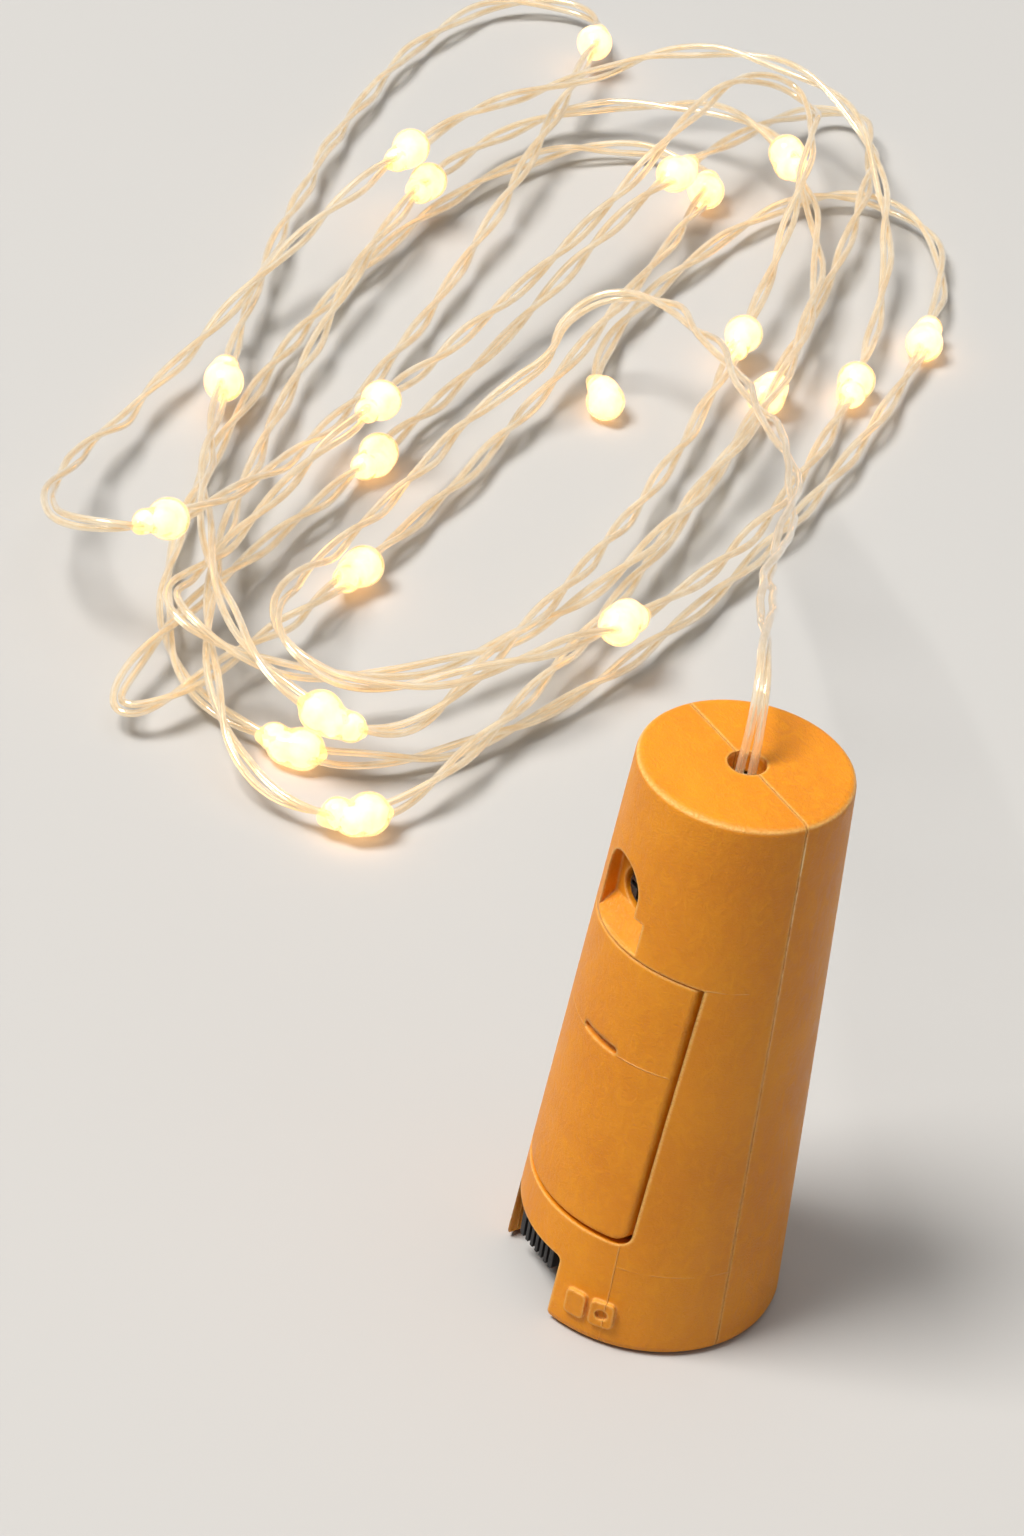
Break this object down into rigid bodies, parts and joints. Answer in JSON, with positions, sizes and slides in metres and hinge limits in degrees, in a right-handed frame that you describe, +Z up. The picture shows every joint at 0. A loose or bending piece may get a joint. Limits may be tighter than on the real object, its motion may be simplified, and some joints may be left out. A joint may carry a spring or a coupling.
{
  "type": "cork bottle light",
  "caption": "Hollow plastic cork with battery door, slide switch and a long string of resin-drop lamps that hangs from its narrow end.",
  "frame": {"origin": "centre of the wide end, on the surface that the cork stands on", "axes": "+Z up along the cork to the narrow end where the string leaves, -Y to the middle of the battery door, +X to the right of the door; the string lies behind and to the left"},
  "size_m": [0.2172, 0.1469, 0.0617],
  "materials": {
    "cork_plastic": "satin amber moulding",
    "knob_plastic": "satin black",
    "screw_steel": "blackened steel",
    "cell_steel": "nickel",
    "contact_plate": "nickel plate",
    "switch_metal": "tinned steel",
    "switch_board": "brown laminate",
    "board_laminate": "green mask",
    "chip_plastic": "black",
    "black_sleeve": "wire sleeve",
    "red_sleeve": "wire sleeve",
    "clear_cord": "clear sleeve over bright wire",
    "clear_resin": "clear glossy resin",
    "lamp_glow": "lit warm white"
  },
  "bodies": {
    "root": {"front_shell": "cork_plastic", "back_shell": "cork_plastic", "shell_screw": "screw_steel", "battery_cell_1": "cell_steel", "battery_cell_2": "cell_steel", "battery_cell_3": "cell_steel", "negative_contact": "contact_plate", "negative_spring": "contact_plate", "positive_contact": "contact_plate", "switch_housing": "switch_metal", "switch_base": "switch_board", "switch_terminals": "contact_plate", "circuit_board": "board_laminate", "control_chip": "chip_plastic", "resistor": "chip_plastic", "black_lead": "black_sleeve", "red_lead": "red_sleeve", "string_knot": "clear_cord", "string_tails": "clear_cord", "string_lead": "clear_cord", "string_coil": "clear_cord", "led_drops": "clear_resin", "led_chips": "lamp_glow"},
    "door": {"battery_door": "cork_plastic"},
    "slider": {"switch_slider": "knob_plastic"}
  },
  "joints": [
    {"name": "door_swing", "type": "hinge", "parent": "root", "child": "door", "pos_m": [0, -0.0112, 0.0114], "axis": [1, 0, 0], "range_deg": [0, 60]},
    {"name": "switch_slide", "type": "slide", "parent": "root", "child": "slider", "axis": [1, 0, 0], "range_m": [0, 0.002]}
  ]
}
